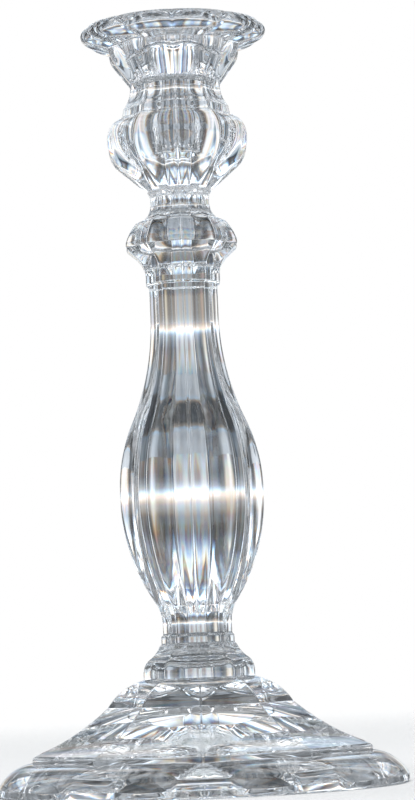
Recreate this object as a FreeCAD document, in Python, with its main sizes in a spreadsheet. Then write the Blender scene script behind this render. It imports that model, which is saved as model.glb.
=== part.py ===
import FreeCAD, Part
import math
import os

import Sketcher

# A clear glass candlestick with ten flat panels all round.
# Millimetres, +Z up. The origin is on the axis, in the plane that the foot stands on.
# Panel radii are measured to the flats; panels face +X and every 36 degrees from it.

PANELS = 10
UP = FreeCAD.Vector(0, 0, 1)
NODES = []

doc = FreeCAD.newDocument("candlestick")

# --------------------------------------------------------------------------------------
# Driving dimensions, in mm
# --------------------------------------------------------------------------------------

SIZES = {
    # foot: round flange, step, ten-panelled dome
    "flange_foot_radius": 79.2,
    "flange_foot_height": 0.8,
    "flange_radius": 80.0,
    "flange_edge_height": 3.2,
    "flange_bulge": 17.5,
    "step_radius": 65.2,
    "step_low": 12.6,
    "step_high": 14.9,
    "dome_start_radius": 64.2,
    "dome_start_height": 15.6,
    "dome_sweep": 95.0,
    "dome_waist_radius": 36.0,
    "dome_waist_height": 32.8,
    "dome_shoulder": 22.0,
    "dome_top_radius": 23.6,
    "dome_top_low": 42.4,
    "foot_top": 43.1,
    "foot_blank_low": 8.0,
    "foot_blank_radius": 72.0,
    # hollow and petal cuts under the foot
    "rest_inner_radius": 71.0,
    "hollow_wall_radius": 67.5,
    "hollow_wall_height": 4.2,
    "hollow_turn_radius": 40.0,
    "hollow_turn_height": 8.0,
    "hollow_crown_radius": 18.0,
    "hollow_crown_height": 13.0,
    "hollow_height": 14.0,
    "petal_centre": 52.0,
    "petal_height": 2.6,
    "petal_half_length": 19.0,
    "petal_half_width": 17.5,
    "petal_depth": 9.0,
    # neck and ring between foot and baluster
    "knop_low": 43.25,
    "knop_ring_low_radius": 21.6,
    "knop_ring_curve": 9.0,
    "knop_ring_radius": 20.4,
    "knop_ring_top": 49.6,
    "knop_step_radius": 19.4,
    "knop_step_height": 50.6,
    "knop_flare_curve": 11.0,
    "knop_flare_radius": 15.0,
    "knop_flare_top": 56.0,
    "knop_bead_radius": 14.3,
    "knop_bead_low": 56.3,
    "knop_bead_high": 59.6,
    "knop_neck_radius": 13.5,
    "knop_neck_low": 60.0,
    "knop_neck_high": 64.0,
    "knop_neck_curve": 18.2,
    "knop_top": 71.0,
    # baluster
    "baluster_low": 71.15,
    "baluster_foot_radius": 14.9,
    "belly_low_curve": 75.8,
    "belly_radius": 28.1,
    "belly_low": 114.0,
    "belly_high": 116.0,
    "belly_high_curve": 67.4,
    "shoulder_radius": 22.1,
    "shoulder_height": 143.8,
    "stem_curve": 103.0,
    "stem_radius": 13.5,
    "stem_height": 185.0,
    "stem_top": 197.8,
    "stem_ring_radius": 14.7,
    "stem_ring_low": 198.4,
    "baluster_top": 203.5,
    "baluster_blank_radius": 31.0,
    # spinning-top knop
    "collar_low": 203.65,
    "collar_low_radius": 14.9,
    "collar_flare_curve": 14.0,
    "collar_skirt_radius": 17.9,
    "collar_skirt_height": 209.4,
    "collar_edge_radius": 22.0,
    "collar_edge_low": 213.2,
    "collar_edge_high": 214.9,
    "collar_crown_curve": 22.0,
    "collar_crown_radius": 17.6,
    "collar_crown_height": 222.8,
    "collar_ledge_radius": 16.4,
    "collar_ledge_height": 223.3,
    "collar_top_curve": 6.6,
    "collar_top_radius": 11.8,
    "collar_top": 229.5,
    "collar_blank_radius": 25.0,
    # bulb, waist and cup
    "urn_low": 229.65,
    "urn_neck_radius": 11.6,
    "urn_neck_high": 232.8,
    "urn_root_curve": 5.2,
    "urn_root_radius": 13.6,
    "urn_root_height": 236.9,
    "bulb_taper_radius": 24.2,
    "bulb_taper_height": 246.6,
    "bulb_low_curve": 12.3,
    "bulb_radius": 27.7,
    "bulb_low": 255.2,
    "bulb_high": 256.2,
    "bulb_high_curve": 9.7,
    "bulb_shoulder_radius": 22.2,
    "bulb_shoulder_height": 264.9,
    "waist_ledge_radius": 21.4,
    "waist_ledge_height": 265.4,
    "waist_flare_radius": 20.8,
    "waist_flare_height": 268.6,
    "waist_curve": 14.5,
    "waist_radius": 17.9,
    "waist_low": 275.6,
    "waist_high": 279.4,
    "cup_taper_radius": 24.6,
    "cup_taper_height": 288.6,
    "cup_curve": 12.0,
    "cup_radius": 26.1,
    "urn_top": 293.7,
    "urn_blank_radius": 30.5,
    "socket_radius": 12.9,
    "socket_floor": 278.8,
    "socket_flat_radius": 9.6,
    "socket_corner": 3.3,
    "socket_corner_height": 282.1,
    # drip pan with nozzle
    "nozzle_low": 279.4,
    "nozzle_flat_radius": 9.6,
    "nozzle_corner": 3.0,
    "nozzle_radius": 12.6,
    "nozzle_corner_height": 282.4,
    "pan_low": 293.75,
    "pan_rest_radius": 25.6,
    "pan_under_curve": 30.0,
    "pan_under_radius": 35.2,
    "pan_under_height": 296.8,
    "pan_rim_radius": 37.5,
    "pan_rim_low": 298.6,
    "pan_rim_high": 300.8,
    "pan_lip_radius": 36.6,
    "pan_top": 302.0,
    "pan_lip_inner_radius": 35.0,
    "pan_dish_curve": 60.0,
    "pan_dish_radius": 16.0,
    "pan_dish_height": 296.9,
    "mouth_radius": 11.8,
    "mouth_height": 296.3,
    "candle_radius": 11.1,
    "candle_high": 295.6,
    "candle_floor": 281.4,
    "lobe_cusp_radius": 35.9,
    "lobe_curve": 21.6,
    "pan_petal_centre": 25.5,
    "pan_petal_height": 300.6,
    "pan_petal_half_length": 10.4,
    "pan_petal_half_width": 9.0,
    "pan_petal_depth": 3.0,
    "pan_petal_tilt": 11.0,
    # how far the adhesive stays inside the edge of a joint
    "film_inset": 0.25,
    # how far the cutting outlines reach, beyond any blank
    "cutter_reach": 90.0,
}

dims = doc.addObject("Spreadsheet::Sheet", "dims")
for row, (alias, value) in enumerate(SIZES.items(), start=1):
    dims.set(f"A{row}", alias)
    dims.set(f"B{row}", str(value))
    dims.setAlias(f"B{row}", alias)
doc.recompute()


# --------------------------------------------------------------------------------------
# Helpers
# --------------------------------------------------------------------------------------

def origin_feature(body, role):
    """The body's own origin plane or axis with this role."""
    return next(item for item in body.Origin.OriginFeatures if item.Role == role)


def new_body(label):
    """A body whose label is the name of its node."""
    body = doc.addObject("PartDesign::Body", label)
    body.Label = label
    NODES.append(body)
    return body


def new_sketch(body, name, role, lift=None):
    """A sketch on one of the body's origin planes, lifted by a named size."""
    sketch = body.newObject("Sketcher::SketchObject", f"{body.Name}_{name}")
    sketch.AttachmentSupport = [(origin_feature(body, role), "")]
    sketch.MapMode = "FlatFace"
    if lift:
        sketch.setExpression("AttachmentOffset.Base.z", f"dims.{lift}")
    return sketch


def bind(sketch, constraint, expression):
    """Adds a dimension to the sketch and ties it to the sheet."""
    index = sketch.addConstraint(constraint)
    name = f"size_{index}"
    sketch.renameConstraint(index, name)
    sketch.setExpression(f"Constraints.{name}", expression)


def arc_between(start, end, radius, side):
    """Arc from start to end; side is +1 when its centre lies left of the way travelled."""
    start = FreeCAD.Vector(*start, 0)
    end = FreeCAD.Vector(*end, 0)
    chord = end - start
    left = FreeCAD.Vector(-chord.y, chord.x, 0).normalize()
    centre = (start + end) * 0.5 + left * side * math.sqrt(radius**2 - (chord.Length / 2) ** 2)
    first, last = (start, end) if side > 0 else (end, start)
    first_angle = math.atan2(first.y - centre.y, first.x - centre.x)
    last_angle = math.atan2(last.y - centre.y, last.x - centre.x)
    circle = Part.Circle(centre, UP, radius)
    return Part.ArcOfCircle(circle, first_angle, last_angle)


def draw_outline(sketch, corners):
    """Closed outline. Each corner is (x, y, run); x and y name sizes, or are None on an axis.

    run is how the outline goes on to the next corner: None for a straight line, or
    (size name, side) for an arc of that radius. Glass bulges where side is +1.
    """
    places = [(SIZES[x] if x else 0.0, SIZES[y] if y else 0.0) for x, y, _ in corners]
    ends = []
    for number, (_, _, run) in enumerate(corners):
        start = places[number]
        end = places[(number + 1) % len(places)]
        if run is None:
            line = Part.LineSegment(FreeCAD.Vector(*start, 0), FreeCAD.Vector(*end, 0))
            ends.append((sketch.addGeometry(line), 1, 2))
            continue
        alias, side = run
        arc = sketch.addGeometry(arc_between(start, end, SIZES[alias], side))
        ends.append((arc, 1, 2) if side > 0 else (arc, 2, 1))
        bind(sketch, Sketcher.Constraint("Radius", arc, SIZES[alias]), f"dims.{alias}")
    for number, (x, y, _) in enumerate(corners):
        before, _, before_end = ends[number - 1]
        here, point, _ = ends[number]
        sketch.addConstraint(Sketcher.Constraint("Coincident", before, before_end, here, point))
        if x:
            across = Sketcher.Constraint("DistanceX", -1, 1, here, point, SIZES[x])
            bind(sketch, across, f"dims.{x}")
        else:
            sketch.addConstraint(Sketcher.Constraint("PointOnObject", here, point, -2))
        if y:
            up = Sketcher.Constraint("DistanceY", -1, 1, here, point, SIZES[y])
            bind(sketch, up, f"dims.{y}")
        else:
            sketch.addConstraint(Sketcher.Constraint("PointOnObject", here, point, -1))


def draw_circle(sketch, alias):
    """A circle on the axis, with a named radius."""
    circle = Part.Circle(FreeCAD.Vector(0, 0, 0), UP, SIZES[alias])
    ring = sketch.addGeometry(circle)
    sketch.addConstraint(Sketcher.Constraint("Coincident", ring, 3, -1, 1))
    bind(sketch, Sketcher.Constraint("Radius", ring, SIZES[alias]), f"dims.{alias}")


def check_removed(body, before, feature):
    """Stops the build when a cut has taken no glass away."""
    doc.recompute()
    if body.Shape.Volume > before - 1.0:
        raise RuntimeError(f"{feature.Name} removes nothing")


def round_blank(body, radius, low, high):
    """The round blank that a panelled section is cut from."""
    sketch = new_sketch(body, "blank_outline", "XY_Plane", lift=low)
    draw_circle(sketch, radius)
    blank = body.newObject("PartDesign::Pad", f"{body.Name}_blank")
    blank.Profile = sketch
    blank.setExpression("Length", f"dims.{high} - dims.{low}")
    doc.recompute()


def repeat_round(body, feature):
    """Repeats a cut on every panel, round the vertical axis."""
    pattern = body.newObject("PartDesign::PolarPattern", f"{feature.Name}_all_round")
    pattern.Originals = [feature]
    pattern.Axis = (origin_feature(body, "Z_Axis"), [""])
    pattern.Angle = 360
    pattern.Occurrences = PANELS
    pattern.Refine = False
    pattern.FuzzyTolerance = 0
    body.Tip = pattern
    doc.recompute()


def through_cut(body, sketch, name):
    """A pocket that passes the whole body, both ways from its sketch."""
    before = body.Shape.Volume
    cut = body.newObject("PartDesign::Pocket", f"{body.Name}_{name}")
    cut.Profile = sketch
    cut.SideType = "Symmetric"
    cut.Type = "Length"
    cut.Refine = False
    cut.FuzzyTolerance = 0
    return cut, before


def cut_panels(body, profile):
    """Grinds the panels: takes away the glass outside the profile, which runs upwards."""
    low = profile[0][1]
    high = profile[-1][1]
    sketch = new_sketch(body, "panel_outline", "XZ_Plane")
    draw_outline(sketch, profile + [("cutter_reach", high, None), ("cutter_reach", low, None)])
    cut, before = through_cut(body, sketch, "panel")
    cut.setExpression("Length", "2 * dims.cutter_reach")
    check_removed(body, before, cut)
    repeat_round(body, cut)


def upright_sketch(name):
    """A sketch of its own in the XZ plane, with its second axis up."""
    sketch = doc.addObject("Sketcher::SketchObject", name)
    sketch.Placement.Rotation = FreeCAD.Rotation(FreeCAD.Vector(1, 0, 0), 90)
    return sketch


def ground_section(label, blank_radius, low, high, profile):
    """A tall section ground from a round bar: one cutter, linked ten times round, cuts it."""
    outline = upright_sketch(f"{label}_outline")
    draw_outline(outline, profile + [("cutter_reach", high, None), ("cutter_reach", low, None)])
    cutter = doc.addObject("Part::Extrusion", f"{label}_cutter")
    cutter.Base = outline
    cutter.DirMode = "Normal"
    cutter.Solid = True
    cutter.Symmetric = True
    cutter.setExpression("LengthFwd", "2 * dims.cutter_reach")
    turned_cutters = []
    for number in range(PANELS):
        turned_cutter = doc.addObject("App::Link", f"{label}_cutter_{number}")
        turned_cutter.LinkedObject = cutter
        turned_cutter.Placement.Rotation = FreeCAD.Rotation(UP, number * 360 / PANELS)
        turned_cutters.append(turned_cutter)
    cutters = doc.addObject("Part::MultiFuse", f"{label}_cutters")
    cutters.Shapes = turned_cutters
    bar = doc.addObject("Part::Cylinder", f"{label}_bar")
    bar.setExpression("Radius", f"dims.{blank_radius}")
    bar.setExpression("Height", f"dims.{high} - dims.{low}")
    bar.setExpression("Placement.Base.z", f"dims.{low}")
    section = doc.addObject("Part::Cut", label)
    section.Label = label
    section.Base = bar
    section.Tool = cutters
    doc.recompute()
    return section


def turn(body, feature_type, name, corners):
    """A turned shape: the outline goes once round the vertical axis."""
    sketch = new_sketch(body, f"{name}_outline", "XZ_Plane")
    draw_outline(sketch, corners)
    turned = body.newObject(feature_type, f"{body.Name}_{name}")
    turned.Profile = sketch
    turned.ReferenceAxis = (sketch, ["V_Axis"])
    turned.Angle = 360
    return turned


def cut_petals(body, prefix, tilt=None):
    """Ten almond-shaped hollows, one to each panel, cut with an ellipsoid."""
    before = body.Shape.Volume
    petal = body.newObject("PartDesign::SubtractiveEllipsoid", f"{body.Name}_petal")
    petal.AttachmentSupport = [(origin_feature(body, "XY_Plane"), "")]
    petal.MapMode = "FlatFace"
    petal.setExpression("AttachmentOffset.Base.x", f"dims.{prefix}_centre")
    petal.setExpression("AttachmentOffset.Base.z", f"dims.{prefix}_height")
    if tilt:
        petal.AttachmentOffset.Rotation = FreeCAD.Rotation(FreeCAD.Vector(0, -1, 0), SIZES[tilt])
    petal.setExpression("Radius1", f"dims.{prefix}_depth")
    petal.setExpression("Radius2", f"dims.{prefix}_half_length")
    petal.setExpression("Radius3", f"dims.{prefix}_half_width")
    check_removed(body, before, petal)
    repeat_round(body, petal)


def film(label, radius, low, high):
    """A cured adhesive film between two ground faces, just inside their edge."""
    disc = doc.addObject("Part::Prism", label)
    disc.Label = label
    disc.Polygon = PANELS
    disc.Placement.Rotation = FreeCAD.Rotation(UP, 180 / PANELS)
    disc.setExpression("Circumradius", f"(dims.{radius} - dims.film_inset) / cos(180 deg / {PANELS})")
    disc.setExpression("Height", f"dims.{high} - dims.{low}")
    disc.setExpression("Placement.Base.z", f"dims.{low}")
    NODES.append(disc)


# --------------------------------------------------------------------------------------
# Foot: a round flange, a small step and a dome with ten panels, hollow underneath
# --------------------------------------------------------------------------------------

foot = new_body("foot")
round_blank(foot, "foot_blank_radius", "foot_blank_low", "foot_top")
cut_panels(
    foot,
    [
        ("step_radius", "foot_blank_low", None),
        ("step_radius", "step_high", None),
        ("dome_start_radius", "dome_start_height", ("dome_sweep", -1)),
        ("dome_waist_radius", "dome_waist_height", ("dome_shoulder", 1)),
        ("dome_top_radius", "dome_top_low", None),
        ("knop_ring_low_radius", "foot_top", None),
    ],
)
flange = turn(
    foot,
    "PartDesign::Revolution",
    "flange",
    [
        (None, None, None),
        ("flange_foot_radius", None, None),
        ("flange_radius", "flange_foot_height", None),
        ("flange_radius", "flange_edge_height", ("flange_bulge", 1)),
        ("step_radius", "step_low", None),
        (None, "step_low", None),
    ],
)
doc.recompute()
solid_volume = foot.Shape.Volume
hollow = turn(
    foot,
    "PartDesign::Groove",
    "hollow",
    [
        (None, None, None),
        ("rest_inner_radius", None, None),
        ("hollow_wall_radius", "hollow_wall_height", None),
        ("hollow_turn_radius", "hollow_turn_height", None),
        ("hollow_crown_radius", "hollow_crown_height", None),
        (None, "hollow_height", None),
    ],
)
check_removed(foot, solid_volume, hollow)
cut_petals(foot, "petal")

# --------------------------------------------------------------------------------------
# Neck and ring that stand on the foot
# --------------------------------------------------------------------------------------

foot_knop = new_body("foot_knop")
round_blank(foot_knop, "collar_blank_radius", "knop_low", "knop_top")
cut_panels(
    foot_knop,
    [
        ("knop_ring_low_radius", "knop_low", ("knop_ring_curve", 1)),
        ("knop_ring_radius", "knop_ring_top", None),
        ("knop_step_radius", "knop_step_height", ("knop_flare_curve", -1)),
        ("knop_flare_radius", "knop_flare_top", None),
        ("knop_bead_radius", "knop_bead_low", None),
        ("knop_bead_radius", "knop_bead_high", None),
        ("knop_neck_radius", "knop_neck_low", None),
        ("knop_neck_radius", "knop_neck_high", ("knop_neck_curve", -1)),
        ("baluster_foot_radius", "knop_top", None),
    ],
)

# --------------------------------------------------------------------------------------
# Baluster: belly, long stem and the small ring on top
# --------------------------------------------------------------------------------------

baluster_stem = ground_section(
    "baluster_stem",
    "baluster_blank_radius",
    "baluster_low",
    "baluster_top",
    [
        ("baluster_foot_radius", "baluster_low", ("belly_low_curve", 1)),
        ("belly_radius", "belly_low", None),
        ("belly_radius", "belly_high", ("belly_high_curve", 1)),
        ("shoulder_radius", "shoulder_height", ("stem_curve", -1)),
        ("stem_radius", "stem_height", None),
        ("stem_radius", "stem_top", None),
        ("stem_ring_radius", "stem_ring_low", None),
        ("stem_ring_radius", "baluster_top", None),
    ],
)
NODES.append(baluster_stem)

# --------------------------------------------------------------------------------------
# Spinning-top knop between the stem and the bulb
# --------------------------------------------------------------------------------------

collar_knop = new_body("collar_knop")
round_blank(collar_knop, "collar_blank_radius", "collar_low", "collar_top")
cut_panels(
    collar_knop,
    [
        ("collar_low_radius", "collar_low", ("collar_flare_curve", -1)),
        ("collar_skirt_radius", "collar_skirt_height", None),
        ("collar_edge_radius", "collar_edge_low", None),
        ("collar_edge_radius", "collar_edge_high", ("collar_crown_curve", 1)),
        ("collar_crown_radius", "collar_crown_height", None),
        ("collar_ledge_radius", "collar_ledge_height", ("collar_top_curve", -1)),
        ("collar_top_radius", "collar_top", None),
    ],
)

# --------------------------------------------------------------------------------------
# Bulb, waist and cup in one piece, with the round socket for the nozzle
# --------------------------------------------------------------------------------------

solid_urn = ground_section(
    "solid_urn",
    "urn_blank_radius",
    "urn_low",
    "urn_top",
    [
        ("urn_neck_radius", "urn_low", None),
        ("urn_neck_radius", "urn_neck_high", ("urn_root_curve", -1)),
        ("urn_root_radius", "urn_root_height", None),
        ("bulb_taper_radius", "bulb_taper_height", ("bulb_low_curve", 1)),
        ("bulb_radius", "bulb_low", None),
        ("bulb_radius", "bulb_high", ("bulb_high_curve", 1)),
        ("bulb_shoulder_radius", "bulb_shoulder_height", None),
        ("waist_ledge_radius", "waist_ledge_height", None),
        ("waist_flare_radius", "waist_flare_height", ("waist_curve", -1)),
        ("waist_radius", "waist_low", None),
        ("waist_radius", "waist_high", None),
        ("cup_taper_radius", "cup_taper_height", ("cup_curve", 1)),
        ("cup_radius", "urn_top", None),
    ],
)
socket_outline = upright_sketch("socket_outline")
draw_outline(
    socket_outline,
    [
        (None, "socket_floor", None),
        ("socket_flat_radius", "socket_floor", ("socket_corner", 1)),
        ("socket_radius", "socket_corner_height", None),
        ("socket_radius", "urn_top", None),
        (None, "urn_top", None),
    ],
)
socket = doc.addObject("Part::Revolution", "socket")
socket.Source = socket_outline
socket.Axis = UP
socket.Angle = 360
socket.Solid = True
socket_urn = doc.addObject("Part::Cut", "socket_urn")
socket_urn.Label = "socket_urn"
socket_urn.Base = solid_urn
socket_urn.Tool = socket
NODES.append(socket_urn)

# --------------------------------------------------------------------------------------
# Bobeche: a ten-lobed drip pan, dished and cut on top, with the candle nozzle below it
# --------------------------------------------------------------------------------------

bobeche = new_body("bobeche")
turn(
    bobeche,
    "PartDesign::Revolution",
    "pan",
    [
        (None, "nozzle_low", None),
        ("nozzle_flat_radius", "nozzle_low", ("nozzle_corner", 1)),
        ("nozzle_radius", "nozzle_corner_height", None),
        ("nozzle_radius", "pan_low", None),
        ("pan_rest_radius", "pan_low", ("pan_under_curve", -1)),
        ("pan_under_radius", "pan_under_height", None),
        ("pan_rim_radius", "pan_rim_low", None),
        ("pan_rim_radius", "pan_rim_high", None),
        ("pan_lip_radius", "pan_top", None),
        ("pan_lip_inner_radius", "pan_top", ("pan_dish_curve", -1)),
        ("pan_dish_radius", "pan_dish_height", None),
        ("mouth_radius", "mouth_height", None),
        ("candle_radius", "candle_high", None),
        ("candle_radius", "candle_floor", None),
        (None, "candle_floor", None),
    ],
)
doc.recompute()

lobe_outline = new_sketch(bobeche, "lobe_outline", "XY_Plane")
half_lobe = math.pi / PANELS
cusp = (SIZES["lobe_cusp_radius"] * math.cos(half_lobe), SIZES["lobe_cusp_radius"] * math.sin(half_lobe))
far = (SIZES["cutter_reach"] * math.cos(half_lobe), SIZES["cutter_reach"] * math.sin(half_lobe))
lobe_corners = [(cusp[0], -cusp[1]), cusp, far, (far[0], -far[1])]
lobe_arc = lobe_outline.addGeometry(arc_between(*lobe_corners[:2], SIZES["lobe_curve"], 1))
for start, end in zip(lobe_corners[1:], lobe_corners[2:] + lobe_corners[:1]):
    lobe_outline.addGeometry(Part.LineSegment(FreeCAD.Vector(*start, 0), FreeCAD.Vector(*end, 0)))
for line in range(lobe_arc, lobe_arc + 4):
    following = lobe_arc + (line - lobe_arc + 1) % 4
    lobe_outline.addConstraint(Sketcher.Constraint("Coincident", line, 2, following, 1))
bind(lobe_outline, Sketcher.Constraint("Radius", lobe_arc, SIZES["lobe_curve"]), "dims.lobe_curve")
for line, size, place in ((lobe_arc, "lobe_cusp_radius", cusp), (lobe_arc + 1, "cutter_reach", far)):
    across = Sketcher.Constraint("DistanceX", -1, 1, line, 2, place[0])
    up = Sketcher.Constraint("DistanceY", -1, 1, line, 2, place[1])
    bind(lobe_outline, across, f"dims.{size} * cos(180 deg / {PANELS})")
    bind(lobe_outline, up, f"dims.{size} * sin(180 deg / {PANELS})")
lobe_outline.addConstraint(Sketcher.Constraint("Symmetric", lobe_arc, 1, lobe_arc, 2, -1))
lobe_outline.addConstraint(Sketcher.Constraint("Symmetric", lobe_arc + 2, 1, lobe_arc + 2, 2, -1))
lobe_cut, pan_volume = through_cut(bobeche, lobe_outline, "lobe")
lobe_cut.setExpression("Length", "2 * (dims.pan_top + dims.cutter_reach)")
check_removed(bobeche, pan_volume, lobe_cut)
repeat_round(bobeche, lobe_cut)
cut_petals(bobeche, "pan_petal", tilt="pan_petal_tilt")

# --------------------------------------------------------------------------------------
# Adhesive films of the four fixed joints
# --------------------------------------------------------------------------------------

film("foot_bond", "knop_ring_low_radius", "foot_top", "knop_low")
film("stem_bond", "baluster_foot_radius", "knop_top", "baluster_low")
film("knop_bond", "stem_ring_radius", "baluster_top", "collar_low")
film("urn_bond", "urn_neck_radius", "collar_top", "urn_low")

# --------------------------------------------------------------------------------------
# Check everything, then write one file per node
# --------------------------------------------------------------------------------------

doc.recompute()
for item in doc.Objects:
    if "Invalid" in item.State or "Error" in item.State:
        raise RuntimeError(f"{item.Name}: {item.State}")
for node in NODES:
    if node.Shape.isNull() or not node.Shape.isValid() or len(node.Shape.Solids) != 1:
        raise RuntimeError(f"{node.Label} is not one valid solid")

os.makedirs("parts", exist_ok=True)
for node in NODES:
    node.Shape.exportStep(os.path.join("parts", f"{node.Label}.step"))
    box = node.Shape.optimalBoundingBox()
    print(f"{node.Label}: {node.Shape.Volume / 1000:.2f} cm3, z {box.ZMin:.2f} to {box.ZMax:.2f}")
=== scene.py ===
import math

import bpy
import numpy as np
from mathutils import Matrix, Vector


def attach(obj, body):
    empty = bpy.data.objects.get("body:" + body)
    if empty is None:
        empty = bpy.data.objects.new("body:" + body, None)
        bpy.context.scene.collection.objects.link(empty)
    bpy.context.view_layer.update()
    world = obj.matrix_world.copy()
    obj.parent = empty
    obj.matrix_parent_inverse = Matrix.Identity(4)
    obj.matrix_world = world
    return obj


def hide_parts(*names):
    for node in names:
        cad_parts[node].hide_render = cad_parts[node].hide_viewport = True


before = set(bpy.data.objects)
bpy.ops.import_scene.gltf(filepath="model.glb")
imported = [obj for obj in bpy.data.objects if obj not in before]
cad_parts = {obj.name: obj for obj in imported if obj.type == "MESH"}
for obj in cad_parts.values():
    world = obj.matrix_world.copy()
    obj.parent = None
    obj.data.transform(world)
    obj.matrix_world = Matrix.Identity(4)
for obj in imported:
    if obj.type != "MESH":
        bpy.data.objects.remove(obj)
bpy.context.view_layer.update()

# A clear ten-panelled crystal candlestick. Radii and heights are in mm until make_piece.

MM = 0.001
PANELS = 10
HALF_PANEL = math.pi / PANELS
STEP = 0.06          # mm between the rows of a dense path
TURN = 3.0           # degrees a kept row may turn from the last
REACH = 3.0          # mm a kept row may lie from the last
HOLLOW = 0.06        # depth of the hollow ground across a panel, over its half width
URN_HOLLOW = 0.12    # the same on the urn, whose panels are polished deeper
FOOT_HOLLOW = 0.02   # and on the foot, whose panels are wide
AXIS_GAP = 0.4       # mm, radius of the small ring that a pole closes on the axis


# --------------------------------------------------------------------------------------
# Paths: an outline in (radius, height), with a share that says how panelled it is
# --------------------------------------------------------------------------------------

def along(start, end, run):
    """Points from start to end, end left out: straight, or an arc of (radius, side)."""
    start, end = np.array(start, float), np.array(end, float)
    chord = end - start
    length = math.hypot(*chord)
    if run is None:
        count = max(2, int(length / STEP))
        return start + np.linspace(0, 1, count, endpoint=False)[:, None] * chord
    radius, side = run
    left = np.array([-chord[1], chord[0]]) / length
    centre = (start + end) / 2 + left * side * math.sqrt(radius**2 - length**2 / 4)
    first = math.atan2(*(start - centre)[::-1])
    sweep = side * 2 * math.asin(length / 2 / radius)
    count = max(2, int(abs(sweep) * radius / STEP))
    angles = first + sweep * np.linspace(0, 1, count, endpoint=False)
    return centre + radius * np.column_stack([np.cos(angles), np.sin(angles)])


def dense_path(corners):
    """Rows of (radius, height, panelled) through corners of (radius, height, run, panelled)."""
    rows = []
    for (r0, z0, run, p0), (r1, z1, _, p1) in zip(corners, corners[1:]):
        points = along((r0, z0), (r1, z1), run)
        share = np.linspace(p0, p1, len(points), endpoint=False)
        rows.append(np.column_stack([points, share]))
    last = corners[-1]
    rows.append([[last[0], last[1], last[3]]])
    return np.vstack(rows)


def swept(corners, share):
    """A path of one share all along, through corners of (radius, height) or (..., run)."""
    return dense_path([(c[0], c[1], c[2] if len(c) > 2 else None, share) for c in corners])


def panelled(*corners):
    """A path that is panelled all along."""
    return swept(corners, 1.0)


# --------------------------------------------------------------------------------------
# Skins: a dense grid of points, thinned to the rows that its curves need
# --------------------------------------------------------------------------------------

def columns(flat_points, corner_points):
    """Places round a ten-sided ring: panel direction, share along the flat, corner angle."""
    flats = np.linspace(-1, 1, flat_points)
    flats = np.sign(flats) * (1 - (1 - np.abs(flats)) ** 1.5)
    out = []
    for panel in range(PANELS):
        facing = 2 * HALF_PANEL * panel
        out += [(facing, share, facing) for share in flats]
        turns = np.linspace(-HALF_PANEL, HALF_PANEL, corner_points + 2)[1:-1]
        out += [(facing, 1.0, facing + HALF_PANEL + turn) for turn in turns]
    return np.array(out)


def ring_points(path, cols, corner, hollow):
    """Grid of x and y for every row and column, panelled or round as the path says."""
    radius = path[:, 0][:, None]
    share = path[:, 2][:, None]
    fillet = np.minimum(corner, radius * 0.25)
    facing, flat, normal = cols.T
    on_corner = (normal != facing)[None, :]
    half = (radius - fillet) * math.tan(HALF_PANEL)
    face = radius - hollow * half * (1 - flat**2)
    flat_x = face * np.cos(facing) - flat * half * np.sin(facing)
    flat_y = face * np.sin(facing) + flat * half * np.cos(facing)
    edge = facing + HALF_PANEL
    out = (radius - fillet) / math.cos(HALF_PANEL)
    corner_x = out * np.cos(edge) + fillet * np.cos(normal)
    corner_y = out * np.sin(edge) + fillet * np.sin(normal)
    x = np.where(on_corner, corner_x, flat_x)
    y = np.where(on_corner, corner_y, flat_y)
    away = np.arctan2(y, x)
    x = share * x + (1 - share) * radius * np.cos(away)
    y = share * y + (1 - share) * radius * np.sin(away)
    return x, y


def grid_of(path, cols, corner, hollow=HOLLOW):
    """The dense grid of a path swept round the axis."""
    x, y = ring_points(path, cols, corner, hollow)
    z = np.repeat(path[:, 1][:, None], x.shape[1], axis=1)
    return np.stack([x, y, z], axis=2)


def polish(grid, width):
    """Rounds every edge across the rows, as fire polishing does, over about width mm."""
    reach = int(width / STEP / 2)
    for _ in range(2):
        total = np.vstack([np.zeros_like(grid[:1]), np.cumsum(grid, axis=0)])
        index = np.arange(len(grid))
        span = np.minimum(np.minimum(index, len(grid) - 1 - index), reach)
        count = (2 * span + 1)[:, None, None]
        grid = (total[index + span + 1] - total[index - span]) / count
    return grid


def slope(before, after):
    """Direction of a curve at a point from the steps before and after it, of any length."""
    short = np.maximum(np.linalg.norm(before, axis=2, keepdims=True), 1e-9)
    long = np.maximum(np.linalg.norm(after, axis=2, keepdims=True), 1e-9)
    return before * long / short + after * short / long


def normals_of(grid):
    """Outward normals of a dense grid whose rows run upwards or inwards round the axis."""
    before = np.diff(grid, axis=0, prepend=2 * grid[:1] - grid[1:2])
    after = np.diff(grid, axis=0, append=2 * grid[-1:] - grid[-2:-1])
    down = slope(before, after)
    across = slope(grid - np.roll(grid, 1, axis=1), np.roll(grid, -1, axis=1) - grid)
    normal = np.cross(across, down)
    return normal / np.maximum(np.linalg.norm(normal, axis=2, keepdims=True), 1e-12)


def keep_rows(grid, normal, reach):
    """The rows that the curves need: the first and last, and wherever the surface turns."""
    kept = [0]
    limit = math.cos(math.radians(TURN))
    for row in range(1, len(grid) - 1):
        turned = np.einsum("ij,ij->i", normal[row], normal[kept[-1]]).min()
        moved = np.abs(grid[row] - grid[kept[-1]]).sum(axis=1).max()
        if turned < limit or moved > reach:
            kept.append(row)
    return kept + [len(grid) - 1]


def wall_faces(rows, cols):
    """Faces between the rows of a grid whose columns close on themselves."""
    return [(row * cols + col, row * cols + (col + 1) % cols,
             (row + 1) * cols + (col + 1) % cols, (row + 1) * cols + col)
            for row in range(rows - 1) for col in range(cols)]


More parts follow.
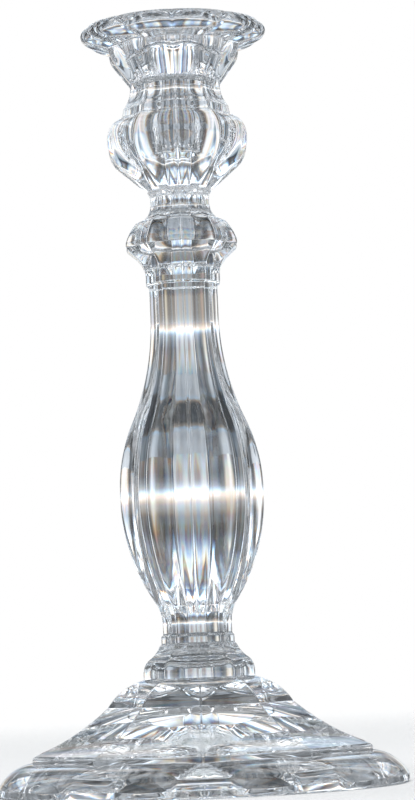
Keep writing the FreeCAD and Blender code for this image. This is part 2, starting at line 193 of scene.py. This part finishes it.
def make_piece(name, grid, normal, ends, slots):
    """A closed mesh from a thinned grid. Each end closes as a 'pole', in the first material,
    or as a 'joint', in the second."""
    rows, cols = grid.shape[:2]
    verts = list(grid.reshape(-1, 3))
    normals = list(normal.reshape(-1, 3))
    faces = wall_faces(rows, cols)
    marks = [0] * len(faces)
    corners = [tuple(normals[vert]) for face in faces for vert in face]
    low_ring = list(range(cols))[::-1]
    high_ring = list(range((rows - 1) * cols, rows * cols))
    for end, row, ring, up in ((ends[0], 0, low_ring, -1), (ends[1], -1, high_ring, 1)):
        if end == "pole":
            caps = [(first, second, len(verts))
                    for first, second in zip(ring, ring[1:] + ring[:1])]
            verts.append(grid[row].mean(axis=0))
            marks += [0] * len(caps)
        else:
            caps = [tuple(ring)]
            marks.append(1)
        faces += caps
        corners += [(0, 0, up) for face in caps for _ in face]
    mesh = bpy.data.meshes.new(name)
    mesh.from_pydata([tuple(vert * MM) for vert in verts], [], faces)
    mesh.polygons.foreach_set("use_smooth", [True] * len(faces))
    for material in slots:
        mesh.materials.append(material)
    mesh.polygons.foreach_set("material_index", marks)
    mesh.normals_split_custom_set(corners)
    mesh.update()
    piece = bpy.data.objects.new(name, mesh)
    bpy.context.scene.collection.objects.link(piece)
    return piece


def glass_piece(name, grid, soft, ends, slots, reach=REACH):
    """A piece of glass from its dense grid, with its edges rounded over soft mm."""
    grid = polish(grid, soft)
    normal = normals_of(grid)
    for end, row, up in ((ends[0], 0, -1), (ends[1], -1, 1)):
        if end == "pole":
            normal[row] = (0, 0, up)
    kept = keep_rows(grid, normal, reach)
    return make_piece(name, grid[kept], normal[kept], ends, slots)


def finish_piece(piece, body, node):
    """Puts the piece on the body it rides on and hides the part it stands for."""
    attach(piece, body)
    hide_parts(node)


# --------------------------------------------------------------------------------------
# Materials
# --------------------------------------------------------------------------------------

def node_tree(name):
    """A new material and its empty node tree."""
    material = bpy.data.materials.new(name)
    material.use_nodes = True
    tree = material.node_tree
    tree.nodes.clear()
    return material, tree


def feed(tree, value, socket):
    """Links another node's output to a socket, or sets the socket to a plain value."""
    if isinstance(value, bpy.types.NodeSocket):
        tree.links.new(value, socket)
    else:
        socket.default_value = value


def add(tree, kind, **values):
    """A node with its properties set and its inputs fed."""
    node = tree.nodes.new(kind)
    for key, value in values.items():
        if key in node.inputs:
            feed(tree, value, node.inputs[key])
        else:
            setattr(node, key, value)
    return node


def number(tree, operation, *values):
    """A number made from others, each a socket or a plain value."""
    node = add(tree, "ShaderNodeMath", operation=operation)
    for socket, value in zip(node.inputs, values):
        feed(tree, value, socket)
    return node.outputs["Value"]


def joined(tree, operation, first, second):
    """A colour made from two others, or from a colour and a number."""
    node = add(tree, "ShaderNodeVectorMath", operation=operation)
    feed(tree, first, node.inputs[0])
    feed(tree, second, node.inputs["Scale"] if operation == "SCALE" else node.inputs[1])
    return node.outputs["Vector"]


def mixed(tree, kind, share, first, second):
    """A number (FLOAT) or a colour (RGBA) between two others."""
    node = add(tree, "ShaderNodeMix", data_type=kind, Factor=share, A=first, B=second)
    return node.outputs["Result"]


def mixed_shader(tree, share, first, second):
    """A shader between two others."""
    node = add(tree, "ShaderNodeMixShader")
    for socket, value in zip(node.inputs, (share, first, second)):
        feed(tree, value, socket)
    return node.outputs["Shader"]


def ramp_of(tree, value, stops):
    """A colour ramp through stops of (place, colour), fed by a value."""
    ramp = add(tree, "ShaderNodeValToRGB", Fac=value)
    elements = ramp.color_ramp.elements
    while len(elements) < len(stops):
        elements.new(0.5)
    for element, (place, colour) in zip(elements, stops):
        element.position = place
        element.color = (*colour, 1)
    return ramp.outputs["Color"]


def spread_over(tree, value, low, high, first, last, smooth=False):
    """A value moved from one range to another and held at its ends."""
    node = add(tree, "ShaderNodeMapRange", Value=value)
    if smooth:
        node.interpolation_type = "SMOOTHSTEP"
    for socket, level in zip(node.inputs[1:5], (low, high, first, last)):
        socket.default_value = level
    return node.outputs["Result"]


def noise_of(tree, vector, scale, detail, distortion=0.0):
    """Random drift over a vector."""
    return add(tree, "ShaderNodeTexNoise", Vector=vector, Scale=scale, Detail=detail,
               Distortion=distortion).outputs["Fac"]


GLASS_INDEX = 1.53
GLASS_COLOUR = (0.99, 0.994, 1.0, 1)
HAZE_SCALE = 70.0    # this and the next two are waves per metre
SCRATCH_SCALE = 900.0
ADHESIVE_SCALE = 160.0
MOST_HAZE = 0.012    # roughness of the glass where its haze is strongest
WORN_HEIGHT = 0.7    # mm, how far up the foot is scratched by standing


def crystal(name, ripple, ripple_scale, draw, wear):
    """Clear crystal: slow waves from polishing, drawn out upwards where draw is small, a very
    fine haze, and scratches where it stands."""
    material, tree = node_tree(name)
    place = add(tree, "ShaderNodeTexCoord").outputs["Object"]
    drawn = add(tree, "ShaderNodeMapping", Vector=place, Scale=(1.0, 1.0, draw))
    waves = noise_of(tree, drawn.outputs["Vector"], ripple_scale, 2.0)
    bump = add(tree, "ShaderNodeBump", Height=waves, Strength=ripple, Distance=MM)
    haze = noise_of(tree, place, HAZE_SCALE, 2.0)
    rough = spread_over(tree, haze, 0.45, 0.8, 0.0, MOST_HAZE)
    if wear:
        height = add(tree, "ShaderNodeSeparateXYZ", Vector=place).outputs["Z"]
        worn = spread_over(tree, height, 0.0, WORN_HEIGHT * MM, wear, 0.0)
        scratches = noise_of(tree, place, SCRATCH_SCALE, 3.0)
        patchy = spread_over(tree, scratches, 0.4, 0.6, 0.2, 1.0)
        rough = number(tree, "ADD", rough, number(tree, "MULTIPLY", worn, patchy))
    glass = add(tree, "ShaderNodeBsdfPrincipled", IOR=GLASS_INDEX, Roughness=rough,
                Normal=bump.outputs["Normal"])
    glass.inputs["Base Color"].default_value = GLASS_COLOUR
    glass.inputs["Transmission Weight"].default_value = 1.0
    add(tree, "ShaderNodeOutputMaterial", Surface=glass.outputs["BSDF"])
    return material


def adhesive():
    """Clear adhesive and the ground faces it wets: light goes straight on, unevenly dimmed."""
    material, tree = node_tree("clear_adhesive")
    place = add(tree, "ShaderNodeTexCoord").outputs["Object"]
    tint = ramp_of(tree, noise_of(tree, place, ADHESIVE_SCALE, 2.0),
                   [(0.35, (0.95, 0.955, 0.95)), (0.65, (0.995, 0.997, 1.0))])
    clear = add(tree, "ShaderNodeBsdfTransparent", Color=tint)
    add(tree, "ShaderNodeOutputMaterial", Surface=clear.outputs["BSDF"])
    return material


# name, strength and scale of its waves, how far they are drawn out, roughness where it stands
GLASS = {
    "foot": crystal("foot_crystal", 0.05, 60.0, 1.0, 0.12),
    "stem": crystal("stem_crystal", 0.08, 190.0, 0.08, 0.0),
    "urn": crystal("urn_crystal", 0.01, 150.0, 0.2, 0.0),
    "pan": crystal("pan_crystal", 0.01, 60.0, 1.0, 0.0),
}
JOINT = adhesive()


# --------------------------------------------------------------------------------------
# Stem sections
# --------------------------------------------------------------------------------------

STEM_COLUMNS = columns(7, 9)
EDGE = 1.1           # mm, radius of the upright edges between the panels
SOFT = 0.8           # mm, width over which fire polishing rounds the edges across them

knop_path = panelled(
    (21.6, 43.25, (9.0, 1)), (20.4, 49.6), (19.4, 50.6, (11.0, -1)), (15.0, 56.0), (14.3, 56.3),
    (14.3, 59.6), (13.5, 60.0), (13.5, 64.0, (18.2, -1)), (14.9, 71.0),
)
baluster_path = panelled(
    (14.9, 71.15, (75.8, 1)), (28.1, 114.0), (28.1, 116.0, (67.4, 1)),
    (22.1, 143.8, (103.0, -1)), (13.5, 185.0), (13.5, 197.8), (14.7, 198.4), (14.7, 203.5),
)
collar_path = panelled(
    (14.9, 203.65, (14.0, -1)), (17.9, 209.4), (22.0, 213.2), (22.0, 214.9, (22.0, 1)),
    (17.6, 222.8), (16.4, 223.3, (6.6, -1)), (11.8, 229.5),
)
for name, node, path in (
    ("foot_knop_glass", "foot_knop", knop_path),
    ("baluster_glass", "baluster_stem", baluster_path),
    ("collar_glass", "collar_knop", collar_path),
):
    piece = glass_piece(name, grid_of(path, STEM_COLUMNS, EDGE), SOFT, ("joint", "joint"),
                        [GLASS["stem"], JOINT])
    finish_piece(piece, "stand", node)


# --------------------------------------------------------------------------------------
# Urn with its socket
# --------------------------------------------------------------------------------------

urn_outside = [
    (11.6, 229.65, None), (11.6, 232.8, (5.2, -1)), (13.6, 236.9, None),
    (24.2, 246.6, (12.3, 1)), (27.7, 255.2, None), (27.7, 256.2, (9.7, 1)),
    (22.2, 264.9, None), (21.4, 265.4, None), (20.8, 268.6, (14.5, -1)),
    (17.9, 275.6, None), (17.9, 279.4, None), (24.6, 288.6, (12.0, 1)), (26.1, 293.7, None),
]
urn_inside = [
    (14.2, 293.7, None), (12.9, 293.7, None), (12.9, 282.1, (3.3, -1)), (9.6, 278.8, None),
    (AXIS_GAP, 278.8, None),
]
urn_path = dense_path([corner + (1.0,) for corner in urn_outside]
                      + [corner + (0.0,) for corner in urn_inside])
piece = glass_piece("urn_glass", grid_of(urn_path, STEM_COLUMNS, EDGE, URN_HOLLOW), SOFT,
                    ("joint", "pole"), [GLASS["urn"], JOINT])
finish_piece(piece, "stand", "socket_urn")


# --------------------------------------------------------------------------------------
# Foot
# --------------------------------------------------------------------------------------

WIDE_COLUMNS = columns(25, 5)
FOOT_EDGE = 1.4      # mm, radius of the upright edges between the dome's panels
FOOT_SOFT = 0.5      # mm, width over which its other edges are rounded
FOOT_REACH = 1.5     # mm a kept row may lie from the last
STANDING_RADIUS = 71.0
FLANGE_RADIUS = 80.0
FLANGE_LOW, FLANGE_HIGH = 3.2, 12.6
FLANGE_CURVE = 17.5  # mm, radius of the curve of the flange's top
FLANGE_RUN = 18.0    # mm along that curve, which sets the number of rows
ROUND_RADIUS = 74.0  # the flange is round outside this and fully panelled at the wall
WALL_RADIUS, WALL_TOP = 65.2, 14.9
CREASE = 0.8         # mm, how softly a petal meets the underside
PETAL_CENTRE, PETAL_LENGTH, PETAL_WIDTH = 52.0, 19.0, 17.5
PETAL_BASE, PETAL_DEPTH = 2.6, 9.0


def flange_height(radius):
    """Height of the flange's upper surface at this distance from the axis."""
    arc = along((FLANGE_RADIUS, FLANGE_LOW), (WALL_RADIUS, FLANGE_HIGH), (FLANGE_CURVE, 1))
    return np.interp(radius, arc[::-1, 0], arc[::-1, 1], left=FLANGE_HIGH)


def dome(spread):
    """Height of a unit dome at this squared distance; it runs on steeply below its edge."""
    return np.where(spread < 0.9, np.sqrt(np.maximum(1 - spread, 0.0)),
                    math.sqrt(0.1) - (spread - 0.9) / 2 / math.sqrt(0.1))


def soft_low(first, second, width):
    """The lower of two heights, with the crease between them rounded over a width."""
    gap = np.maximum(width - np.abs(first - second), 0) / width
    return np.minimum(first, second) - gap**2 * width / 4


def in_panel(x, y):
    """Turns places round the axis into the axes of their own panel."""
    away = np.arctan2(y, x)
    turned = away - np.round(away / (2 * HALF_PANEL)) * 2 * HALF_PANEL
    radius = np.hypot(x, y)
    return radius * np.cos(turned), radius * np.sin(turned), turned


def foot_petal(x, y):
    """Height of the petal cut at this place in one panel's own axes."""
    spread = ((x - PETAL_CENTRE) / PETAL_LENGTH) ** 2 + (y / PETAL_WIDTH) ** 2
    return PETAL_BASE + PETAL_DEPTH * dome(spread)


def foot_grid():
    """The foot: petals cut beneath, a flange that turns from round to panelled, and a dome."""
    under = swept([
        (AXIS_GAP, 14.0), (18.0, 13.0), (40.0, 8.0), (67.5, 4.2), (STANDING_RADIUS, 0.0),
        (79.2, 0.0), (FLANGE_RADIUS, 0.8), (FLANGE_RADIUS, FLANGE_LOW),
    ], 0.0)
    radii = np.linspace(FLANGE_RADIUS, WALL_RADIUS, int(FLANGE_RUN / STEP))
    share = np.clip((ROUND_RADIUS - radii) / (ROUND_RADIUS - WALL_RADIUS), 0, 1)
    flange = np.column_stack([radii, radii * 0, share**2 * (3 - 2 * share)])
    climb = np.linspace(0, 1, int((WALL_TOP - FLANGE_HIGH) / STEP))[1:]
    wall = np.column_stack([climb * 0 + WALL_RADIUS, climb, climb * 0 + 1])
    upper = panelled(
        (WALL_RADIUS, WALL_TOP), (64.2, 15.6, (95.0, -1)), (36.0, 32.8, (22.0, 1)),
        (23.6, 42.4), (21.6, 43.1),
    )
    path = np.vstack([under, flange, wall, upper])
    grid = grid_of(path, WIDE_COLUMNS, FOOT_EDGE, FOOT_HOLLOW)
    x, y, z = np.moveaxis(grid, 2, 0)
    at = slice(0, len(under))
    petal_x, petal_y, _ = in_panel(x[at], y[at])
    petals = -soft_low(-z[at], -foot_petal(petal_x, petal_y), CREASE)
    z[at] = np.where(np.hypot(petal_x, petal_y) < STANDING_RADIUS, petals, z[at])
    at = slice(at.stop, at.stop + len(flange))
    z[at] = flange_height(np.hypot(x[at], y[at]))
    at = slice(at.stop, at.stop + len(wall))
    low = flange_height(np.hypot(x[at], y[at]))
    z[at] = low + climb[:, None] * (WALL_TOP - low)
    return grid


piece = glass_piece("foot_glass", foot_grid(), FOOT_SOFT, ("pole", "joint"),
                    [GLASS["foot"], JOINT], FOOT_REACH)
finish_piece(piece, "stand", "foot")


# --------------------------------------------------------------------------------------
# Bobeche
# --------------------------------------------------------------------------------------

PAN_SOFT = 3.0       # mm, width over which the pan's edges are rounded
PETAL_EDGE = 1.8     # mm, how softly a petal's edge meets the surface
RIM_RADIUS = 37.5    # mm, of the rim before it is drawn into lobes
LOBE_RADIUS = 21.6   # mm, of each lobe's arc
LOBE_OUT, LOBE_HALF = 34.14, 11.09  # mm, how far out a lobe's ends are and half its width
LOBES_FROM, LOBES_FULL = 26.5, 36.0  # mm, where the lobes begin and where they are full
DISH_RADIUS, DISH_HEIGHT, DISH_DEPTH = 25.5, 300.6, 3.0
DISH_TILT = 11.0     # degrees that a petal's floor leans inwards
DISH_LENGTH, DISH_WIDTH = 10.4, 9.0
NOZZLE_KEPT = 12.5   # mm from the axis inside which no petal is cut


def lobed(grid, top_row):
    """Draws the rim out into ten lobes and cuts a petal for each into the top of the pan."""
    x, y, z = np.moveaxis(grid, 2, 0)
    radius = np.hypot(x, y)
    petal_x, petal_y, turned = in_panel(x, y)
    centre = LOBE_OUT - math.sqrt(LOBE_RADIUS**2 - LOBE_HALF**2)
    outline = centre * np.cos(turned) + np.sqrt(
        LOBE_RADIUS**2 - (centre * np.sin(turned)) ** 2)
    share = np.clip((radius - LOBES_FROM) / (LOBES_FULL - LOBES_FROM), 0, 1)
    scale = 1 + share * (outline / RIM_RADIUS - 1)
    out = petal_x - DISH_RADIUS
    petal = DISH_HEIGHT + out * math.tan(math.radians(DISH_TILT)) - DISH_DEPTH * dome(
        (out / DISH_LENGTH) ** 2 + (petal_y / DISH_WIDTH) ** 2)
    top = (np.arange(len(grid)) > top_row)[:, None]
    cut = np.where(top & (radius > NOZZLE_KEPT), soft_low(z, petal, PETAL_EDGE), z)
    return np.stack([x * scale, y * scale, cut], axis=2)


def pan_grid():
    """The pan and its nozzle, from the nozzle's underside up round the rim to its floor."""
    under = [
        (AXIS_GAP, 279.4), (9.6, 279.4, (3.0, 1)), (12.6, 282.4), (12.6, 293.75),
        (25.6, 293.75, (30.0, -1)), (35.2, 296.8), (RIM_RADIUS, 298.6), (RIM_RADIUS, 300.8),
        (36.6, 302.0), (35.0, 302.0, (60.0, -1)),
    ]
    over = [(16.0, 296.9), (11.8, 296.3), (11.1, 295.6), (11.1, 281.4), (AXIS_GAP, 281.4)]
    grid = grid_of(swept(under + over, 0.0), WIDE_COLUMNS, EDGE)
    return lobed(grid, len(swept(under, 0.0)))


piece = glass_piece("bobeche_glass", pan_grid(), PAN_SOFT, ("pole", "pole"),
                    [GLASS["pan"], JOINT])
finish_piece(piece, "bobeche", "bobeche")


# --------------------------------------------------------------------------------------
# Adhesive films
# --------------------------------------------------------------------------------------

FILM_COLUMNS = columns(3, 3)
FILM_EDGE = 0.35     # mm, radius of a film's upright edges
FILM_WAIST = 0.05    # mm that a film draws in between the faces it wets

for node, radius, low, high in (
    ("foot_bond", 21.35, 43.1, 43.25), ("stem_bond", 14.65, 71.0, 71.15),
    ("knop_bond", 14.45, 203.5, 203.65), ("urn_bond", 11.35, 229.5, 229.65),
):
    film_path = panelled((radius, low), (radius - FILM_WAIST, (low + high) / 2), (radius, high))
    piece = glass_piece(f"{node}_film", grid_of(film_path, FILM_COLUMNS, FILM_EDGE), 0.0,
                        ("joint", "joint"), [JOINT, JOINT])
    finish_piece(piece, "stand", node)


# --------------------------------------------------------------------------------------
# Floor and surroundings: plain to the camera; to the glass, a floor painted with light and shade
# and a room of light and dark cards
# --------------------------------------------------------------------------------------

def grey(level, warmth=0.0):
    """A grey with a little warmth, or a little cold where warmth is negative."""
    return (level * (1 + warmth), level, level * (1 - warmth))


SPREAD = 0.003       # how far the bands of colour part, as a share of the tones' ranges
TINT = 28.0          # how much further the uneven patches part, which tints them
# Painted light and shade of the floor round the foot, as the glass sees it, darkest close under
# the foot, by distance in metres
FLOOR_PAINTED_TONES = [
    (0.0, grey(0.14, -0.05)), (0.05, grey(0.18, -0.07)), (0.08, grey(0.24, -0.08)),
    (0.10, grey(0.36, -0.06)), (0.16, grey(0.42, -0.06)), (0.24, grey(0.22, -0.04)),
    (0.30, grey(0.08, -0.03)), (0.41, grey(0.08, 0.0)), (0.445, grey(0.22, 0.15)),
    (0.47, grey(0.40, -0.2)), (0.52, grey(0.38, -0.05)), (0.70, grey(0.44, -0.05)),
    (1.0, grey(0.46, -0.05)),
]
# Tones round the room from straight ahead (0) to square on (1), the same on all four sides
ROUND_TONES = [
    (0.0, grey(0.42, -0.06)), (0.03, grey(0.55, -0.06)), (0.045, grey(0.13, -0.06)),
    (0.08, grey(0.24, -0.08)), (0.105, grey(0.85, -0.04)), (0.17, grey(0.66, -0.05)),
    (0.20, grey(0.18, -0.07)), (0.235, grey(0.08, -0.03)), (0.27, grey(0.24, -0.09)),
    (0.30, grey(0.08, -0.04)), (0.33, grey(0.70, -0.05)), (0.42, grey(0.95, -0.02)),
    (0.425, grey(0.22, -0.06)), (0.435, grey(0.22, -0.06)), (0.44, grey(1.0, -0.02)),
    (0.51, grey(0.90, -0.02)), (0.54, grey(0.22, -0.06)), (0.60, grey(0.14, -0.06)),
    (0.63, grey(0.28, -0.06)), (0.66, grey(0.80, -0.02)), (0.72, grey(0.36, -0.06)),
    (0.80, grey(0.10, -0.05)), (0.86, grey(0.20, -0.07)), (0.89, grey(0.60, -0.05)),
    (0.93, grey(0.45, -0.06)), (0.95, grey(0.12, -0.05)), (1.0, grey(0.30, -0.06)),
]
# Tones from straight down (0) to straight up (1)
HEIGHT_TONES = [
    (0.0, grey(0.9)), (0.42, grey(1.0)), (0.46, grey(1.15, 0.02)), (0.52, grey(1.1)),
    (0.55, grey(0.80)), (0.58, grey(0.70)), (0.62, grey(0.85, 0.02)),
    (0.66, grey(1.7, -0.02)), (0.76, grey(2.2, -0.02)), (0.90, grey(1.6, -0.02)),
    (1.0, grey(0.9, -0.02)),
]
# A bright sill that runs round the room a little above the horizon, warm below, cold above
SILL_TONES = [
    (0.0, grey(0.0)), (0.485, grey(0.0)), (0.505, grey(0.14, 0.03)), (0.520, grey(0.40)),
    (0.526, grey(0.8, 0.1)), (0.531, grey(1.2)), (0.536, grey(0.8, -0.12)),
    (0.546, grey(0.36, -0.1)), (0.575, grey(0.08, -0.05)), (0.61, grey(0.0)),
]
FLOOR_GLOW = 2.0     # brightness of the floor's painted glow of light and shade in the glass
FLOOR_END = 1.0      # m, how far out the glass sees the floor's tones
ROOM_ON_FLOOR = 0.3  # share of the room's light that falls on the floor
LAMPS = 1.2          # brightness of the rows of lamps overhead
CEILING_POWER = 31.0  # W


def disc(name, rings, spokes):
    """A flat round mesh with rings at these radii."""
    verts = [(0, 0, 0)]
    for radius in rings:
        verts += [(radius * math.cos(2 * math.pi * k / spokes),
                   radius * math.sin(2 * math.pi * k / spokes), 0) for k in range(spokes)]
    faces = [(0, 1 + k, 1 + (k + 1) % spokes) for k in range(spokes)]
    for ring in range(len(rings) - 1):
        base = 1 + ring * spokes
        faces += [(base + k, base + spokes + k, base + spokes + (k + 1) % spokes,
                   base + (k + 1) % spokes) for k in range(spokes)]
    mesh = bpy.data.meshes.new(name)
    mesh.from_pydata(verts, [], faces)
    return mesh


def floor_seen(tree, length, clear):
    """What the camera sees: a pale matt floor that fades into the backdrop."""
    matt = add(tree, "ShaderNodeBsdfDiffuse")
    matt.inputs["Color"].default_value = (0.86, 0.86, 0.86, 1)
    fade = spread_over(tree, length, 0.35, 1.6, 0.0, 1.0, smooth=True)
    return mixed_shader(tree, fade, matt.outputs["BSDF"], clear)


def floor_glow(tree, place, length):
    """What the glass sees: a painted glow of light and shade in tones by distance, the room's
    cards painted further out, and painted caustic light close by.
    """
    x, y, _ = add(tree, "ShaderNodeSeparateXYZ", Vector=place).outputs
    fold = number(tree, "PINGPONG", number(tree, "ARCTAN2", x, y), math.pi / 2)
    cards = ramp_of(tree, number(tree, "MULTIPLY", fold, 2 / math.pi), ROUND_TONES)
    far = spread_over(tree, length, 0.18, 0.32, 0.0, 1.0, smooth=True)
    lit = mixed(tree, "RGBA", far, (0.5, 0.5, 0.5, 1), cards)
    # The floor's painted light and shade by distance, laid over painted cards
    colour = joined(tree, "MULTIPLY", ramp_of(tree, length, FLOOR_PAINTED_TONES), lit)
    # Painted caustic light: a rippled pool of brighter and darker glow close round the foot, seen
    # only by the glass
    ripple = noise_of(tree, place, 34.0, 3.0, 1.6)
    painted_caustics = spread_over(tree, ripple, 0.40, 0.62, 0.35, 1.6)
    near = spread_over(tree, length, 0.10, 0.20, 1.0, 0.0, smooth=True)
    strength = number(tree, "MULTIPLY", mixed(tree, "FLOAT", near, 1.0, painted_caustics), FLOOR_GLOW)
    return add(tree, "ShaderNodeEmission", Color=colour, Strength=strength).outputs["Emission"]


def make_floor():
    """A wide pale floor that the glass sees painted with light and shade; beyond its tones the
    glass sees the room through it.
    """
    mesh = disc("floor", [0.5, 1.5, 4.0, 9.0], 64)
    floor = bpy.data.objects.new("floor", mesh)
    bpy.context.scene.collection.objects.link(floor)
    material, tree = node_tree("pale_floor")
    place = add(tree, "ShaderNodeTexCoord").outputs["Object"]
    measure = add(tree, "ShaderNodeVectorMath", operation="LENGTH", Vector=place)
    length = measure.outputs["Value"]
    clear = add(tree, "ShaderNodeBsdfTransparent").outputs["BSDF"]
    hidden = mixed_shader(tree, number(tree, "GREATER_THAN", length, FLOOR_END),
                          floor_glow(tree, place, length), clear)
    ray = add(tree, "ShaderNodeLightPath")
    both = mixed_shader(tree, ray.outputs["Is Camera Ray"], hidden,
                        floor_seen(tree, length, clear))
    add(tree, "ShaderNodeOutputMaterial", Surface=both)
    mesh.materials.append(material)


def wave_along(tree, vector, scale, low, high, detail):
    """A slow random drift between two levels, as uneven cards and walls give."""
    return spread_over(tree, noise_of(tree, vector, scale, detail), 0.35, 0.65, low, high)


def overhead_lamps(tree, x, y, z, lean):
    """Rows of square lamps overhead, crosswise both ways."""
    rows = [number(tree, "PINGPONG",
                   number(tree, "ADD", number(tree, "DIVIDE", side, z), 4 * lean), 0.3)
            for side in (x, y)]
    panel = spread_over(tree, number(tree, "MINIMUM", *rows), 0.12, 0.15, 0.0, LAMPS, smooth=True)
    above = spread_over(tree, z, 0.55, 0.65, 0.0, 1.0, smooth=True)
    return number(tree, "MULTIPLY", panel, above)


def room_colour(tree, direction, lean):
    """The room's light from a direction that leans by a small angle, for one band of colour."""
    x, y, z = add(tree, "ShaderNodeSeparateXYZ", Vector=direction).outputs
    level = number(tree, "MULTIPLY_ADD", z, 0.5, 0.5 + lean)
    fold = number(tree, "PINGPONG", number(tree, "ARCTAN2", x, y), math.pi / 2)
    share = number(tree, "MULTIPLY_ADD", fold, 2 / math.pi, lean)
    walls = joined(tree, "MULTIPLY", ramp_of(tree, level, HEIGHT_TONES),
                   ramp_of(tree, share, ROUND_TONES))
    drawn = add(tree, "ShaderNodeMapping", Vector=direction, Location=(0.0, 0.0, lean * TINT),
                Scale=(9.0, 9.0, 2.2)).outputs["Vector"]
    walls = joined(tree, "SCALE", walls, wave_along(tree, drawn, 1.0, 0.45, 1.5, 4.0))
    sill = joined(tree, "SCALE", ramp_of(tree, level, SILL_TONES),
                  wave_along(tree, direction, 5.0, 0.3, 1.3, 2.0))
    walls = joined(tree, "ADD", walls, sill)
    return joined(tree, "ADD", walls, overhead_lamps(tree, x, y, z, lean))


def make_world():
    """A pale studio: seen plain by the camera, and by the glass as light and dark cards."""
    world = bpy.data.worlds.new("studio")
    bpy.context.scene.world = world
    world.use_nodes = True
    tree = world.node_tree
    tree.nodes.clear()
    direction = add(tree, "ShaderNodeTexCoord").outputs["Generated"]
    rainbow = add(tree, "ShaderNodeCombineXYZ")
    for band, lean in enumerate((-SPREAD, 0.0, SPREAD)):
        split = add(tree, "ShaderNodeSeparateXYZ", Vector=room_colour(tree, direction, lean))
        tree.links.new(split.outputs[band], rainbow.inputs[band])
    ray = add(tree, "ShaderNodeLightPath")
    strength = spread_over(tree, ray.outputs["Is Diffuse Ray"], 0.0, 1.0, 1.0, ROOM_ON_FLOOR)
    room = add(tree, "ShaderNodeBackground", Color=rainbow.outputs["Vector"], Strength=strength)
    plain = add(tree, "ShaderNodeBackground")
    plain.inputs["Color"].default_value = (1.0, 1.0, 1.0, 1)
    both = mixed_shader(tree, ray.outputs["Is Camera Ray"], room.outputs["Background"],
                        plain.outputs["Background"])
    add(tree, "ShaderNodeOutputWorld", Surface=both)


def make_ceiling_light():
    """A wide soft light straight above, which lights the floor and isn't seen in the glass."""
    lamp = bpy.data.lights.new("ceiling", "AREA")
    lamp.shape = "RECTANGLE"
    lamp.size, lamp.size_y = 1.6, 1.6
    lamp.energy = CEILING_POWER
    light = bpy.data.objects.new("ceiling", lamp)
    light.location = (0.0, 0.0, 1.9)
    bpy.context.scene.collection.objects.link(light)
    light.visible_camera = False
    light.visible_glossy = False
    light.visible_transmission = False


# --------------------------------------------------------------------------------------
# Camera
# --------------------------------------------------------------------------------------

CAMERA_LENS = 120.06  # mm
CAMERA_PITCH = 5.57  # degrees above level
CAMERA_ROLL = -2.4   # degrees
CAMERA_PLACE = Vector((0.0, -1.05, 0.05))  # m
CAMERA_SHIFT = (0.0244, 0.0)


def make_camera():
    """A view from a little above the foot, looking up at the rim, slightly rolled."""
    lens = bpy.data.cameras.new("camera")
    lens.lens = CAMERA_LENS
    lens.sensor_width = 36.0
    lens.clip_start, lens.clip_end = 0.01, 50.0
    camera = bpy.data.objects.new("camera", lens)
    bpy.context.scene.collection.objects.link(camera)
    look = Matrix.Rotation(math.radians(90 + CAMERA_PITCH), 4, "X")
    roll = Matrix.Rotation(math.radians(CAMERA_ROLL), 4, "Z")
    camera.matrix_world = Matrix.Translation(CAMERA_PLACE) @ look @ roll
    lens.shift_x, lens.shift_y = CAMERA_SHIFT
    bpy.context.scene.camera = camera


make_floor()
make_world()
make_ceiling_light()
make_camera()

scene = bpy.context.scene
scene.view_settings.view_transform = "Standard"
scene.cycles.max_bounces = 24
scene.cycles.transmission_bounces = 24
scene.cycles.glossy_bounces = 12
scene.cycles.transparent_max_bounces = 32
scene.cycles.use_denoising = True
scene.cycles.denoising_input_passes = "RGB"
scene.cycles.sample_clamp_indirect = 8.0

bpy.context.view_layer.update()
